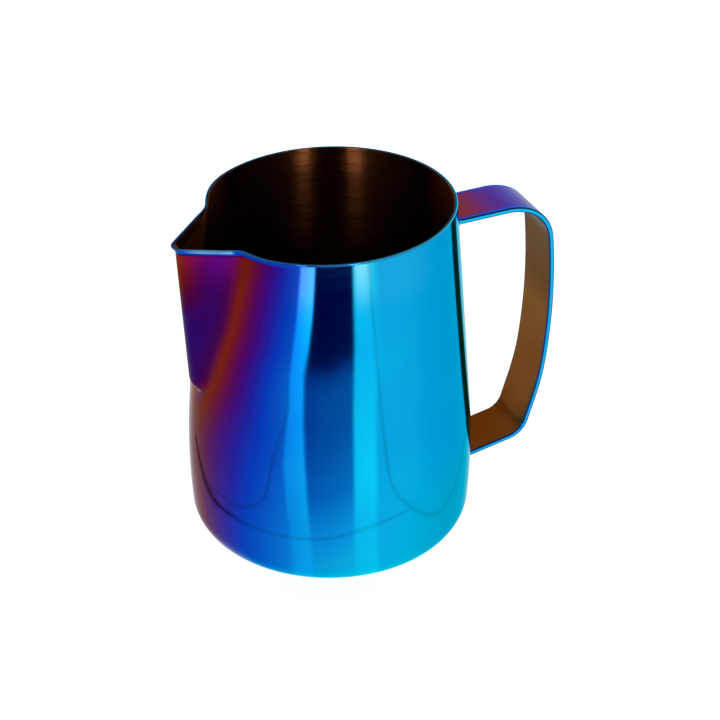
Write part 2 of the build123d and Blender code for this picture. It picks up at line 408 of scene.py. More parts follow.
def outside_painted_shading(turn, z, rim):
    """Painted brightness of the film's colour: painted shade on the cheeks towards the chin,
    painted highlight near the lip, and a painted dark line of shade under the lip.
    """
    turn = np.degrees(np.abs(turn))
    cheek = ramp(from_table(CREASE_LINE, z) - turn, *CHEEK_SHADING_TURN) * ramp(z, *CHEEK_SHADING_LEVEL)
    below_line = z < rim - SHADE_LINE_DEPTH
    line = bell(z, rim - SHADE_LINE_DEPTH, SHADE_LINE_WIDTH) * ramp(turn, *SHADE_LINE_TURN)
    return (1 + cheek * (from_table(CHEEK_PAINTED_SHADING, z) - 1) * below_line) * (1 - SHADE_LINE_DARKNESS * line)


# ------------------------ meshes

def make_piece(name, points, faces, materials, face_materials, film_and_painted_light, node):
    """Mesh object with one value per point for its film and for its painted light and shade."""
    mesh = bpy.data.meshes.new(name)
    mesh.from_pydata((np.asarray(points) * MM).tolist(), [], faces)
    mesh.polygons.foreach_set("material_index", face_materials)
    mesh.polygons.foreach_set("use_smooth", [True] * len(faces))
    for label, values in film_and_painted_light.items():
        attribute = mesh.attributes.new(label, "FLOAT", "POINT")
        attribute.data.foreach_set("value", np.asarray(values, dtype=np.float32))
    for material in materials:
        mesh.materials.append(material)
    mesh.validate()
    piece = bpy.data.objects.new(name, mesh)
    bpy.context.scene.collection.objects.link(piece)
    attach(piece, "root")
    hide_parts(node)
    return piece


def build_jug(outside, inside):
    """The pressed shell as one closed mesh: underside, outer wall, rim, inner wall, floor."""
    rings, films, painted_shading_rows, painted_highlight_rows = [], [], [], []
    count = len(TURNS)
    even = np.ones(count)

    def add_row(radius, z, film, painted_shading, painted_highlight=0.0):
        rings.append(ring(radius, z))
        films.append(np.broadcast_to(film, count))
        painted_shading_rows.append(np.broadcast_to(painted_shading, count))
        painted_highlight_rows.append(np.broadcast_to(painted_highlight, count))

    for radius, z in base_profile(0.0):
        add_row(radius, z, outside_film(TURNS, z * even, RIM), 1.0)
    for z in wall_rows(1):
        add_row(form_radius(TURNS, z, RIM, 0.0), z, outside_film(TURNS, z, RIM),
                outside_painted_shading(TURNS, z, RIM), outside_painted_highlight(TURNS, z, RIM))
    outer_top = form_radius(TURNS, RIM - EDGE_ROUNDING, RIM, 0.0)
    inner_top = form_radius(TURNS, RIM - EDGE_ROUNDING, RIM, WALL)
    middle = (outer_top + inner_top) / 2
    half = (outer_top - inner_top) / 2
    for k in range(1, TOP_EDGE_STEPS):
        a = pi * k / TOP_EDGE_STEPS
        across = np.sign(cos(a)) * abs(cos(a)) ** TOP_EDGE_POWER
        up = sin(a) ** TOP_EDGE_POWER
        add_row(middle + half * across, RIM - EDGE_ROUNDING * (1 - up),
                *rim_film_and_painted_light(TURNS, ramp(cos(a), *OUTWARD)))
    rim_rows = len(rings)
    for z in reversed(wall_rows(INSIDE_SPACING)):
        add_row(form_radius(TURNS, z, RIM, WALL), z, INSIDE_FILM, 1.0)
    for radius, z in reversed(base_profile(WALL)):
        add_row(radius, z, INSIDE_FILM, 1.0)

    points = np.concatenate(rings + [[[0, 0, RECESS]], [[0, 0, RECESS + WALL]]])
    film = np.concatenate(films + [[TEAL], [INSIDE_FILM]])
    painted_shading = np.concatenate(painted_shading_rows + [[1.0], [1.0]])
    painted_highlight = np.concatenate(painted_highlight_rows + [[0.0], [0.0]])
    under_centre = len(points) - 2
    floor_centre = len(points) - 1
    faces = []
    face_materials = []
    last = len(rings) - 1
    for i in range(count):
        j = (i + 1) % count
        faces.append((under_centre, i, j))
        face_materials.append(0)
    for row in range(last):
        a = row * count
        b = a + count
        material = 0 if row < rim_rows - INNER_EDGE_ROWS else 1
        for i in range(count):
            j = (i + 1) % count
            faces.append((a + i, b + i, b + j, a + j))
            face_materials.append(material)
    for i in range(count):
        j = (i + 1) % count
        faces.append((last * count + i, floor_centre, last * count + j))
        face_materials.append(1)
    # the film is the coating's own colour; the brightness is painted light and shade, the last
    # value a pale painted highlight
    film_and_painted_light = {"film": film, "painted_shading": painted_shading, "painted_highlight": painted_highlight}
    return make_piece("jug_shell", points, faces, (outside, inside), face_materials, film_and_painted_light,
                      "jug_body")


def strap_path():
    """Stations along the middle of the strap: (x, z, heading, distance from the start)."""
    x, z = STRAP_START
    heading = radians(STRAP_RISE)
    run = 0.0
    stations = [(x, z, heading, run)]
    bend_fewest, straight_fewest = STRAP_FEWEST_STEPS
    for size, turned in STRAP_PATH:
        if turned:
            steps = max(bend_fewest, int(radians(turned) * size / STRAP_BEND_STEP))
            turn = radians(turned) / steps
            chord = 2 * size * sin(turn / 2)
            for _ in range(steps):
                x += chord * cos(heading - turn / 2)
                z += chord * sin(heading - turn / 2)
                heading -= turn
                run += size * turn
                stations.append((x, z, heading, run))
        else:
            steps = max(straight_fewest, int(size / STRAP_STRAIGHT_STEP))
            for _ in range(steps):
                x += size / steps * cos(heading)
                z += size / steps * sin(heading)
                run += size / steps
                stations.append((x, z, heading, run))
    return stations


def strap_section():
    """Loop of (across, outward, part of the section)."""
    half = STRAP_WIDTH / 2
    thick = STRAP_THICKNESS / 2
    flat = half - STRAP_ROUNDING
    low = thick - STRAP_ROUNDING
    loop = []

    def corner(centre_across, centre_out, start):
        for k in range(ROUND_STEPS + 1):
            a = radians(start + 90 * k / ROUND_STEPS)
            loop.append((centre_across + STRAP_ROUNDING * cos(a),
                         centre_out + STRAP_ROUNDING * sin(a), CORNER))

    near_edge = [flat - step for step in NEAR_EDGE]
    middle = list(np.linspace(flat - FLAT_MARGIN, -flat + FLAT_MARGIN, FLAT_POINTS))
    across = near_edge + middle + [-a for a in near_edge[::-1]]
    side = low * SIDE_SHARE
    corner(flat, low, 0)
    loop += [(a, thick, OUTER) for a in across]
    corner(-flat, low, 90)
    loop += [(-half, h, SIDE) for h in (side, 0.0, -side)]
    corner(-flat, -low, 180)
    loop += [(-a, -thick, INNER) for a in across]
    corner(flat, -low, 270)
    loop += [(half, h, SIDE) for h in (-side, 0.0, side)]
    return loop


def strap_cap(section):
    """Faces across one end of the strap, as indices into its section."""
    outer = [i for i, point in enumerate(section) if point[2] == OUTER]
    inner = [i for i, point in enumerate(section) if point[2] == INNER][::-1]
    faces = []
    for k in range(len(outer) - 1):
        faces.append((outer[k], outer[k + 1], inner[k + 1], inner[k]))
    faces.append(tuple(range(outer[-1], inner[-1] + 1)))
    faces.append(tuple(range(inner[0], len(section))) + tuple(range(outer[0] + 1)))
    return faces


# distance along the strap from its hidden start, then film thickness, or brightness of its colour,
# which is painted light above 1 and painted shade below 1
OUTER_FILM = ((0, 0.25), (7, 0.27), (10, 0.30), (13, 0.35), (17, 0.43), (22, 0.50), (28, 0.56),
              (36, 0.62), (50, 0.72), (75, 0.85), (110, 0.93), (150, 0.965))
OUTER_PAINTED_SHADING = ((0, 1.1), (10, 1.2), (14, 1.4), (30, 1.4), (60, 1.0))
INNER_FILM = ((0, 0.12), (30, 0.05), (44, 0.08), (60, 0.11), (80, 0.135), (105, 0.15),
              (124, 0.165), (160, 0.17))
INNER_PAINTED_SHADING = ((0, 0.8), (44, 0.62), (60, 0.60), (72, 0.95), (105, 0.85), (118, 0.6), (160, 0.6))
# film on the narrow sides and the rounded corners; the brightness is painted light on the sides and
# painted shade on the corners
SIDE_FILM = 0.975
SIDE_PAINTED_LIGHT = 1.15
CORNER_FILM = 0.80
CORNER_PAINTED_SHADE = 0.45
OUTER_EDGE_FILM = 0.72       # the outer face turns blue beside its edges
OUTER_EDGE_WIDTH = 2.3
OUTER, SIDE, INNER, CORNER = range(4)


def strap_film_and_painted_light(part, run, across):
    """Film thickness, and brightness of its colour as painted light and shade, at a distance along
    and across the strap.
    """
    if part == SIDE:
        return SIDE_FILM, SIDE_PAINTED_LIGHT
    if part == INNER:
        return from_table(INNER_FILM, run), from_table(INNER_PAINTED_SHADING, run)
    if part == CORNER:
        return CORNER_FILM, CORNER_PAINTED_SHADE
    film = from_table(OUTER_FILM, run)
    beside = ramp(abs(across), STRAP_WIDTH / 2 - OUTER_EDGE_WIDTH, OUTER_EDGE_WIDTH)
    return max(film, film + (OUTER_EDGE_FILM - film) * beside), from_table(OUTER_PAINTED_SHADING, run)


def on_wall(x, y, z, heading):
    """Slides a point of a strap end along the strap until it is inside the body's sheet."""
    for _ in range(WALL_PASSES):
        gap = np.hypot(x, y) - (float(body_radius(np.float64(z))) - STRAP_SINK)
        x -= gap * abs(cos(heading))
        z -= gap * sin(heading) * np.sign(cos(heading))
    return x, z


def build_strap(outer, inner):
    """The flat strap as one closed mesh, both ends cut to the round of the body."""
    section = strap_section()
    count = len(section)
    start_wall = float(body_radius(np.float64(STRAP_START[1]))) - STRAP_SINK
    start_gap, other_gap = STATION_GAPS
    stations = strap_path()
    middle = [s for s in stations if s[0] > start_wall + start_gap
              and s[0] > float(body_radius(np.float64(s[1]))) + other_gap]
    stations = [stations[0]] + middle + [stations[-1]]
    points, film, painted_shading = [], [], []
    for row, (x, z, heading, run) in enumerate(stations):
        for across, out, part in section:
            px = x - out * sin(heading)
            pz = z + out * cos(heading)
            if row in (0, len(stations) - 1):
                px, pz = on_wall(px, across, pz, heading)
            points.append((px, across, pz))
            thickness, brightness = strap_film_and_painted_light(part, run, across)
            film.append(thickness)
            painted_shading.append(brightness)
    faces = []
    face_materials = []
    for row in range(len(stations) - 1):
        a = row * count
        b = a + count
        for i in range(count):
            j = (i + 1) % count
            faces.append((a + i, a + j, b + j, b + i))
            face_materials.append(int(INNER in (section[i][2], section[j][2])))
    last = (len(stations) - 1) * count
    for face in strap_cap(section):
        faces.append(tuple(reversed(face)))
        faces.append(tuple(last + i for i in face))
        face_materials += [0, 0]
    # the strap's brightness is painted light and shade; it gets no painted highlight
    film_and_painted_light = {"film": film, "painted_shading": painted_shading, "painted_highlight": np.zeros(len(points))}
    return make_piece("strap_shell", points, faces, (outer, inner), face_materials, film_and_painted_light,
                      "handle_strap")


# ------------------------ materials

def linear(rgb):
    """Display colour 0-255 to scene linear."""
    parts = [c / 255 for c in rgb]
    return [c / 12.92 if c <= 0.04045 else ((c + 0.055) / 1.055) ** 2.4 for c in parts]


FILM_COLOURS = (
    (0.00, (160, 142, 134)),
    (0.06, (140, 108, 80)),
    (0.12, (136, 90, 46)),
    (0.17, (122, 62, 6)),
    (0.21, (120, 44, 8)),
    (0.235, (116, 28, 8)),
    (0.295, (106, 14, 42)),
    (0.39, (82, 4, 84)),
    (0.49, (58, 8, 122)),
    (0.585, (30, 28, 154)),
    (0.667, (6, 54, 181)),
    (0.74, (8, 77, 191)),
    (0.82, (8, 109, 207)),
    (0.90, (8, 152, 222)),
    (0.965, (8, 171, 226)),
    (1.00, (8, 178, 213)),
)
# pale colour of the painted highlights that are mixed into the film
PAINTED_HIGHLIGHT_COLOUR = (150, 215, 255)
INSIDE_DARK = (112, 62, 33)
INSIDE_LIGHT = (136, 79, 45)
INSIDE_EDGE_TINT = (0.8, 0.4, 0.3, 1)
# colour that is left of white at a glancing angle, by film thickness
EDGE_TINTS = (
    (0.25, (0.85, 0.64, 0.55)),
    (0.42, (0.80, 0.66, 0.75)),
    (0.60, (0.72, 0.78, 0.86)),
    (0.78, (0.35, 0.93, 0.96)),
    (1.00, (0.25, 0.93, 0.96)),
)
BRONZE_EDGE_TINTS = ((0.0, (0.60, 0.60, 0.56)), (0.2, (0.60, 0.60, 0.55)))
NOISE_RANGE = (0.3, 0.7)     # between these lies nearly all of the noise
FILM_DRIFT = 0.012           # slow variation of the film thickness, up and down
DRIFT_SCALE = 40.0           # per metre, as in the two lines below
POLISH_LINES = (60, 60, 1400)
BRUSH_LINES = (30, 30, 2600)
POLISH_DETAIL = 4.0
BRUSH_DETAIL = 3.0
RELIEF_STRENGTH = 0.03
RELIEF_DEPTH = 0.0001        # metres
JUG_ROUGHNESS = (0.05, 0.08)
INSIDE_ROUGHNESS = (0.265, 0.30)
STRAP_ROUGHNESS = (0.12, 0.18)
STRAP_INSIDE_ROUGHNESS = (0.14, 0.20)
STRAP_COAT = (("Coat Weight", 0.12), ("Coat Roughness", 0.12))
WELD_ROUGHNESS = (0.30, 0.38)
WELD_FILM = 0.62
WELD_TONE = 0.8


def colour_ramp(nodes, stops):
    """Ramp node through (position, linear colour) stops."""
    node = nodes.new("ShaderNodeValToRGB")
    elements = node.color_ramp.elements
    while len(elements) > 1:
        elements.remove(elements[-1])
    elements[0].position = stops[0][0]
    elements[0].color = (*stops[0][1], 1)
    for position, colour in stops[1:]:
        elements.new(position).color = (*colour, 1)
    return node


def new_material(name):
    material = bpy.data.materials.new(name)
    material.use_nodes = True
    nodes = material.node_tree.nodes
    return material, nodes, material.node_tree.links, nodes["Principled BSDF"]


def attribute(nodes, name):
    """Reads a value that is stored on the mesh."""
    node = nodes.new("ShaderNodeAttribute")
    node.attribute_name = name
    return node.outputs["Fac"]


def noise(nodes, links, scale, stretch, detail=3.0):
    """Noise over the object's own coordinates in metres, stretched per axis."""
    where = nodes.new("ShaderNodeTexCoord")
    mapping = nodes.new("ShaderNodeMapping")
    mapping.inputs["Scale"].default_value = stretch
    texture = nodes.new("ShaderNodeTexNoise")
    texture.inputs["Scale"].default_value = scale
    texture.inputs["Detail"].default_value = detail
    links.new(where.outputs["Object"], mapping.inputs["Vector"])
    links.new(mapping.outputs["Vector"], texture.inputs["Vector"])
    return texture.outputs["Fac"]


def spread(nodes, links, source, low, high):
    """Maps noise, which stays near one half, to a range."""
    node = nodes.new("ShaderNodeMapRange")
    node.inputs["From Min"].default_value = NOISE_RANGE[0]
    node.inputs["From Max"].default_value = NOISE_RANGE[1]
    node.inputs["To Min"].default_value = low
    node.inputs["To Max"].default_value = high
    links.new(source, node.inputs["Value"])
    return node.outputs["Result"]


def relief(nodes, links, lines, shader):
    """Gives the steel the faint relief of its polishing or brushing lines."""
    bump = nodes.new("ShaderNodeBump")
    bump.inputs["Strength"].default_value = RELIEF_STRENGTH
    bump.inputs["Distance"].default_value = RELIEF_DEPTH
    links.new(lines, bump.inputs["Height"])
    links.new(bump.outputs["Normal"], shader.inputs["Normal"])


def coated_steel(name, roughness, edge_tints=EDGE_TINTS, fixed=None):
    """Polished steel with a film whose thickness and brightness are fixed or stored on the mesh; a
    stored brightness is painted light and shade, and a stored share mixes in a pale painted
    highlight.
    """
    material, nodes, links, shader = new_material(name)
    shader.inputs["Metallic"].default_value = 1.0
    slow = noise(nodes, links, DRIFT_SCALE, (1, 1, 1))
    drift = spread(nodes, links, slow, -FILM_DRIFT, FILM_DRIFT)
    film = nodes.new("ShaderNodeMath")
    film.operation = "ADD"
    links.new(drift, film.inputs[1])
    toned = nodes.new("ShaderNodeVectorMath")
    toned.operation = "SCALE"
    if fixed is None:
        links.new(attribute(nodes, "film"), film.inputs[0])
        links.new(attribute(nodes, "painted_shading"), toned.inputs["Scale"])
    else:
        film.inputs[0].default_value, toned.inputs["Scale"].default_value = fixed
    colour = colour_ramp(nodes, [(at, linear(rgb)) for at, rgb in FILM_COLOURS])
    links.new(film.outputs["Value"], colour.inputs["Fac"])
    links.new(colour.outputs["Color"], toned.inputs[0])
    tint = colour_ramp(nodes, edge_tints)
    links.new(film.outputs["Value"], tint.inputs["Fac"])
    links.new(tint.outputs["Color"], shader.inputs["Specular Tint"])
    # mixes the pale painted highlight into the film's colour
    highlighted = nodes.new("ShaderNodeMix")
    highlighted.data_type = "RGBA"
    highlighted.inputs["B"].default_value = (*linear(PAINTED_HIGHLIGHT_COLOUR), 1)
    links.new(attribute(nodes, "painted_highlight"), highlighted.inputs["Factor"])
    links.new(toned.outputs["Vector"], highlighted.inputs["A"])
    links.new(highlighted.outputs["Result"], shader.inputs["Base Color"])
    lines = noise(nodes, links, 1.0, POLISH_LINES, POLISH_DETAIL)
    links.new(spread(nodes, links, lines, *roughness), shader.inputs["Roughness"])
    relief(nodes, links, lines, shader)
    return material


def brushed_inside(name):
    """Bronze-dark inside, brushed round the axis, so that lights draw out into upright streaks."""
    material, nodes, links, shader = new_material(name)
    shader.inputs["Metallic"].default_value = 1.0
    shader.inputs["Anisotropic"].default_value = 1.0
    shader.inputs["Anisotropic Rotation"].default_value = 0.25
    shader.inputs["Specular Tint"].default_value = INSIDE_EDGE_TINT
    tangent = nodes.new("ShaderNodeTangent")
    tangent.direction_type = "RADIAL"
    tangent.axis = "Z"
    links.new(tangent.outputs["Tangent"], shader.inputs["Tangent"])
    lines = noise(nodes, links, 1.0, BRUSH_LINES, BRUSH_DETAIL)
    dark, light = NOISE_RANGE
    colour = colour_ramp(nodes, ((dark, linear(INSIDE_DARK)), (light, linear(INSIDE_LIGHT))))
    links.new(lines, colour.inputs["Fac"])
    links.new(colour.outputs["Color"], shader.inputs["Base Color"])
    links.new(spread(nodes, links, lines, *INSIDE_ROUGHNESS), shader.inputs["Roughness"])
    relief(nodes, links, lines, shader)
    return material


# ------------------------ stage

VIEW_AZIMUTH = -21.95        # the photograph's viewing direction
VIEW_ELEVATION = 30.88
VIEW_DISTANCE = 705.6
VIEW_CENTRE = Vector((0, 0, 56))
VIEW_AIM = (9.61, 0.9)       # right and up from the centre, so that the object sits as framed
LENS = 112.72
SENSOR = 36.0

FLOOR_REACH = 4000.0
FLOOR_COLOUR = (0.9, 0.9, 0.9, 1)
FLOOR_LIGHT = 0.98
WORLD_FADE = (-0.7, -0.2)    # start and end of the fade, as cosines to the level view direction
WORLD_LIGHT = (0.95, 0.002)  # behind the jug, and on the camera's side

azimuth = radians(VIEW_AZIMUTH)
elevation = radians(VIEW_ELEVATION)
VIEW_BACK = Vector((sin(azimuth) * cos(elevation), -cos(azimuth) * cos(elevation), sin(elevation)))
VIEW_RIGHT = Vector((cos(azimuth), sin(azimuth), 0))
VIEW_UP = VIEW_BACK.cross(VIEW_RIGHT)
TO_VIEWER = Vector((sin(azimuth), -cos(azimuth), 0))   # level direction towards the camera


def build_camera():
    data = bpy.data.cameras.new("photo_camera")
    data.lens = LENS
    data.sensor_width = SENSOR
    data.clip_start = 0.01
    data.clip_end = 50
    camera = bpy.data.objects.new("photo_camera", data)
    bpy.context.scene.collection.objects.link(camera)
    camera.location = (VIEW_CENTRE + VIEW_BACK * VIEW_DISTANCE) * MM
    aim = (VIEW_CENTRE + VIEW_RIGHT * VIEW_AIM[0] + VIEW_UP * VIEW_AIM[1]) * MM
    camera.rotation_euler = (aim - camera.location).to_track_quat("-Z", "Y").to_euler()
    bpy.context.scene.camera = camera


def stage_mesh(name, points, faces, material):
    mesh = bpy.data.meshes.new(name)
    mesh.from_pydata([tuple(p) for p in points], [], faces)
    mesh.materials.append(material)
    thing = bpy.data.objects.new(name, mesh)
    bpy.context.scene.collection.objects.link(thing)
    return thing


def gloss_only(thing):
    """The thing is seen in reflections and nowhere else."""
    thing.visible_camera = False
    thing.visible_diffuse = False
    thing.visible_transmission = False
    thing.visible_shadow = False
    thing.visible_volume_scatter = False


def square(reach, height):
    """Corners of a level square round the origin, in metres."""
    signs = ((-1, -1), (1, -1), (1, 1), (-1, 1))
    return [(x * reach * MM, y * reach * MM, height * MM) for x, y in signs]


def build_floor():
    """Pale floor that gives most of its light itself, so that it is even."""
    material, _, _, shader = new_material("pale_floor")
    shader.inputs["Base Color"].default_value = FLOOR_COLOUR
    shader.inputs["Roughness"].default_value = 0.9
    shader.inputs["Specular IOR Level"].default_value = 0.0
    shader.inputs["Emission Color"].default_value = (1, 1, 1, 1)
    shader.inputs["Emission Strength"].default_value = FLOOR_LIGHT
    stage_mesh("floor", square(FLOOR_REACH, 0), [(0, 1, 2, 3)], material)


def build_world():
    """Bright behind the jug, dark overhead and on the side of the photograph's camera."""
    world = bpy.data.worlds.new("studio")
    bpy.context.scene.world = world
    world.use_nodes = True
    nodes = world.node_tree.nodes
    links = world.node_tree.links
    where = nodes.new("ShaderNodeTexCoord")
    toward = nodes.new("ShaderNodeVectorMath")
    toward.operation = "DOT_PRODUCT"
    toward.inputs[1].default_value = TO_VIEWER
    fade = nodes.new("ShaderNodeMapRange")
    fade.interpolation_type = "SMOOTHSTEP"
    fade.inputs["From Min"].default_value = WORLD_FADE[0]
    fade.inputs["From Max"].default_value = WORLD_FADE[1]
    fade.inputs["To Min"].default_value = WORLD_LIGHT[0]
    fade.inputs["To Max"].default_value = WORLD_LIGHT[1]
    links.new(where.outputs["Generated"], toward.inputs[0])
    links.new(toward.outputs["Value"], fade.inputs["Value"])
    links.new(fade.outputs["Result"], nodes["Background"].inputs["Strength"])
    nodes["Background"].inputs["Color"].default_value = (1, 1, 1, 1)


# The front of the jug mirrors the room in front of it. These tables describe the photograph's
# reflections: two light strips, the dark gap between them and thin dark seams. They were set by
# comparing renders with the photograph. A card on the floor is lit with them, laid out from the
# photograph's camera, and it stays there when the camera moves. Its light is coloured where white
# light on this coating didn't give the photograph's colours.
# Turns are from the viewer in degrees, to the right positive, and levels are on the body.
# level, left and right edge of the narrow light on the left, its light in blue and in green
LEFT_STRIP = ((0, -15.0, -6.6, 1.15, 1.3), (12, -15.0, -6.8, 1.15, 1.3),
              (25, -16.5, -8.2, 1.15, 1.38), (45, -18.6, -9.6, 1.4, 2.3),
              (60, -17.2, -10.4, 1.5, 2.0), (76, -16.2, -10.3, 1.65, 2.2),
              (85, -15.2, -8.4, 1.83, 3.2), (95, -13.6, -6.9, 2.2, 4.4),
              (104, -12.6, -6.2, 3.5, 4.9), (118, -11.6, -5.2, 4.0, 5.6))
# level, left and right edge of the wider light on the right, its light in blue and in green
RIGHT_STRIP = ((0, 9.4, 20.0, 1.08, 1.32), (12, 9.4, 19.0, 1.1, 1.35), (25, 9.4, 18.2, 1.16, 1.38),
               (45, 9.5, 18.5, 1.27, 1.73), (65, 9.7, 18.5, 1.17, 1.48),
               (76, 10.2, 20.5, 1.16, 1.3), (85, 10.7, 20.5, 1.16, 1.25),
               (98, 10.7, 18.5, 1.2, 1.5), (104, 10.6, 18.5, 1.3, 2.0), (118, 10.6, 17.5, 1.4, 2.7))
# level, red light added in the tops of the left and the right one, which look nearly white
TOP_RED = ((0, 0.0, 0.0), (90, 0.0, 0.0), (95, 1.5, 0.0), (100, 5.0, 4.5), (104, 8.0, 10.0),
           (110, 10.0, 22.0), (118, 11.0, 24.0))
# level, light left in the gap between the two, in blue and in green (red is as green)
GAP = ((0, 1.0, 1.25), (10, 0.98, 1.12), (18, 0.97, 0.90), (25, 0.88, 0.77), (35, 0.69, 0.47),
       (45, 0.61, 0.41), (50, 0.546, 0.335), (60, 0.45, 0.23), (70, 0.443, 0.225),
       (72, 0.382, 0.18), (74, 0.329, 0.14), (76, 0.287, 0.10), (78, 0.136, 0.032),
       (80, 0.095, 0.0155), (82, 0.067, 0.007), (95, 0.055, 0.0025), (118, 0.05, 0.002))
GAP_TILT = 0.45              # the gap brightens towards its right side, in mm of level per degree
GAP_TURNS = (0, 12)          # between these turns
# softness of the strips' edges in degrees, and how it changes: amount, level, span
GAP_SOFTNESS = 2.2
GAP_SHARPER_ABOVE = (1.3, 82, 8)
GAP_SOFTER_BELOW = (1.6, 20, 16)
LEFT_SOFTNESS = 1.4
LEFT_SOFTER_BELOW = (2.0, 24, 20)
RIGHT_SOFTNESS = 3.0
RIGHT_SOFTER_ABOVE = (6, 75, 20)
# light away from the strips: what it loses to the right, over turns, in blue and in green
BLUE_LOSS = 0.17
BLUE_LOSS_TURN = (22, 42)
GREEN_SHARE = 1.03
GREEN_LOSS = 0.15
GREEN_LOSS_TURN = (22, 38)
LEFT_LOSS = 0.3              # and to the left, in all colours
LEFT_LOSS_TURN = (46, 24)
# the nearly white top of the right strip: its middle, half width, growth per mm from a level up
WEDGE_TURN = 14.4
WEDGE_WIDTH = 1.4
WEDGE_GROWTH = 0.14
WEDGE_LEVEL = 88
WEDGE_RISE = 16
WEDGE_POWER = 4
# turn, level, half width of the thin dark seams between the parts of the room
RIGHT_SEAM = ((17.0, 118, 0.5), (17.6, 104, 0.5), (20.0, 77, 0.5), (21.6, 55, 0.55),
              (23.6, 39.5, 0.6), (25.5, 34.4, 0.6), (33.4, 26.4, 0.6), (42.8, 19.9, 0.6),
              (50.4, 19.0, 0.6), (59.5, 23.7, 0.6), (66.0, 30.0, 0.6), (73.0, 44.0, 0.5))
LEFT_SEAM = ((-15.8, 69.0, 0.5), (-18.8, 57.0, 0.6), (-23.2, 46.6, 0.6), (-25.3, 34.0, 0.6),
             (-29.5, 29.0, 0.6), (-39.4, 25.0, 0.6), (-57.5, 27.4, 0.6))
LOW_SEAM = ((-69.0, 39.0, 0.9), (-62.0, 28.7, 1.4), (-55.0, 23.0, 1.6), (-49.0, 21.6, 0.9),
            (-30.0, 19.9, 0.6), (-16.0, 19.8, 0.5), (0.0, 20.2, 0.6), (9.0, 22.3, 0.6),
            (20.0, 24.4, 0.5), (33.4, 26.4, 0.5))
RIGHT_SEAM_DARKNESS = 0.24
LEFT_SEAM_DARKNESS = 0.26
LOW_SEAM_DARKNESS = 0.26
LOW_SEAM_DARKER = (0.5, -40, 14)   # on the left: amount, turn, span
SEAM_PASSES = 3              # rounds in which the corners of a seam are cut
CORNER_CUT = 0.25
TABLE_GLOW = 0.82            # the table away from the front of the jug
CARD_SIDES = (1, 76, 6)      # where the front card fades into it, over turn and over level
CARD_TOP = (1, 115, 4)
CARD_TURN = 80
CARD_TURN_STEP = 0.6
CARD_LEVELS = ((1.5, 42, 0.45), (42, 118, 0.8))   # from level, to level, step
LEVEL_STEP = 0.01            # over which the slope of the body is taken
LEAST_FALL = 0.05            # keeps mirrored rays that are nearly level from going too far
PLAIN_CARD_REACH = 2000.0
PLAIN_CARD_HEIGHT = 0.1
FRONT_CARD_HEIGHT = 0.3

# bearing from the camera in degrees, brightness of the low and of the high part of the card
# that the inside reflects
LOW_GLOW = ((-80, 0.3, 0.15), (-60, 0.5, 0.3), (-45, 0.8, 0.45), (-31, 2.0, 1.1), (-29, 34.0, 5.6),
            (-20, 34.0, 5.6), (-18, 0.0, 0.0), (15, 0.0, 0.0), (17, 38.0, 5.6), (25, 38.0, 5.6),
            (27, 1.2, 0.7), (45, 0.6, 0.35), (60, 0.3, 0.2), (80, 0.2, 0.1))
LOW_GLOW_TURN = 80
LOW_GLOW_DISTANCE = 1100.0
LOW_GLOW_HEIGHTS = ((150.0, 1), (225.0, 1), (245.0, 2), (640.0, 2))   # height, column above


def mirror_point(turn, z):
    """Point and outward direction of the round body at a turn from the viewer."""
    low = np.arccos(np.clip(1 - z / CORNER_RADIUS, -1, 1))
    slope = (body_radius(z + LEVEL_STEP) - body_radius(z)) / LEVEL_STEP
    wall = z > CORNER_TOP
    radius = np.where(wall, body_radius(z), FOOT_RADIUS + CORNER_RADIUS * np.sin(low))
    out = np.where(wall, 1.0, np.sin(low))
    up = np.where(wall, -slope, -np.cos(low))
    size = np.hypot(out, up)
    level = np.outer(np.cos(turn), TO_VIEWER) + np.outer(np.sin(turn), VIEW_RIGHT)
    point = level * radius[:, None] + np.outer(z, (0, 0, 1))
    normal = level * (out / size)[:, None] + np.outer(up / size, (0, 0, 1))
    return point, normal


def mirrored_floor(turn, z):
    """Where the photograph's camera sees the floor when it looks at the round body."""
    point, normal = mirror_point(turn, z)
    eye = np.array(VIEW_CENTRE + VIEW_BACK * VIEW_DISTANCE)
    ray = point - eye
    ray /= np.linalg.norm(ray, axis=1)[:, None]
    ray -= 2 * (ray * normal).sum(1)[:, None] * normal
    fall = np.maximum(-ray[:, 2], LEAST_FALL)
    return point + ray * (point[:, 2] / fall)[:, None]


def softened(seam):
    """The seam with its corners cut, so that it runs as a smooth curve."""
    points = np.array(seam)
    for _ in range(SEAM_PASSES):
        after = points[:-1] * (1 - CORNER_CUT) + points[1:] * CORNER_CUT
        before = points[:-1] * CORNER_CUT + points[1:] * (1 - CORNER_CUT)
        middle = np.stack([after, before], axis=1).reshape(-1, 3)
        points = np.concatenate([points[:1], middle[1:-1], points[-1:]])
    return points


def near_seam(turn, z, seam):
    """1 on a seam, falling to 0 over its half width."""
    across = np.radians(turn) * BELLY_RADIUS
    near = np.zeros(turn.shape)
    curve = softened(seam)
    for (turn_a, z_a, width_a), (turn_b, z_b, width_b) in zip(curve, curve[1:]):
        start = radians(turn_a) * BELLY_RADIUS
        run = radians(turn_b) * BELLY_RADIUS - start
        rise = z_b - z_a
        share = np.clip(((across - start) * run + (z - z_a) * rise) / (run**2 + rise**2), 0, 1)
        gap = np.hypot(across - start - share * run, z - z_a - share * rise)
        near = np.maximum(near, bell(gap, 0, between((width_a, width_b), share)))
    return near


def edge(value, at, soft):
    """0 below an edge and 1 above it."""
    return smooth_step((value - at) / soft + 0.5)


def above(value, amount, at, soft):
    """The amount where a value is above an edge, and nothing below it."""
    return amount * edge(value, at, soft)


def below(value, amount, at, soft):
    """The amount where a value is below an edge, and nothing above it."""
    return amount * edge(at, value, soft)


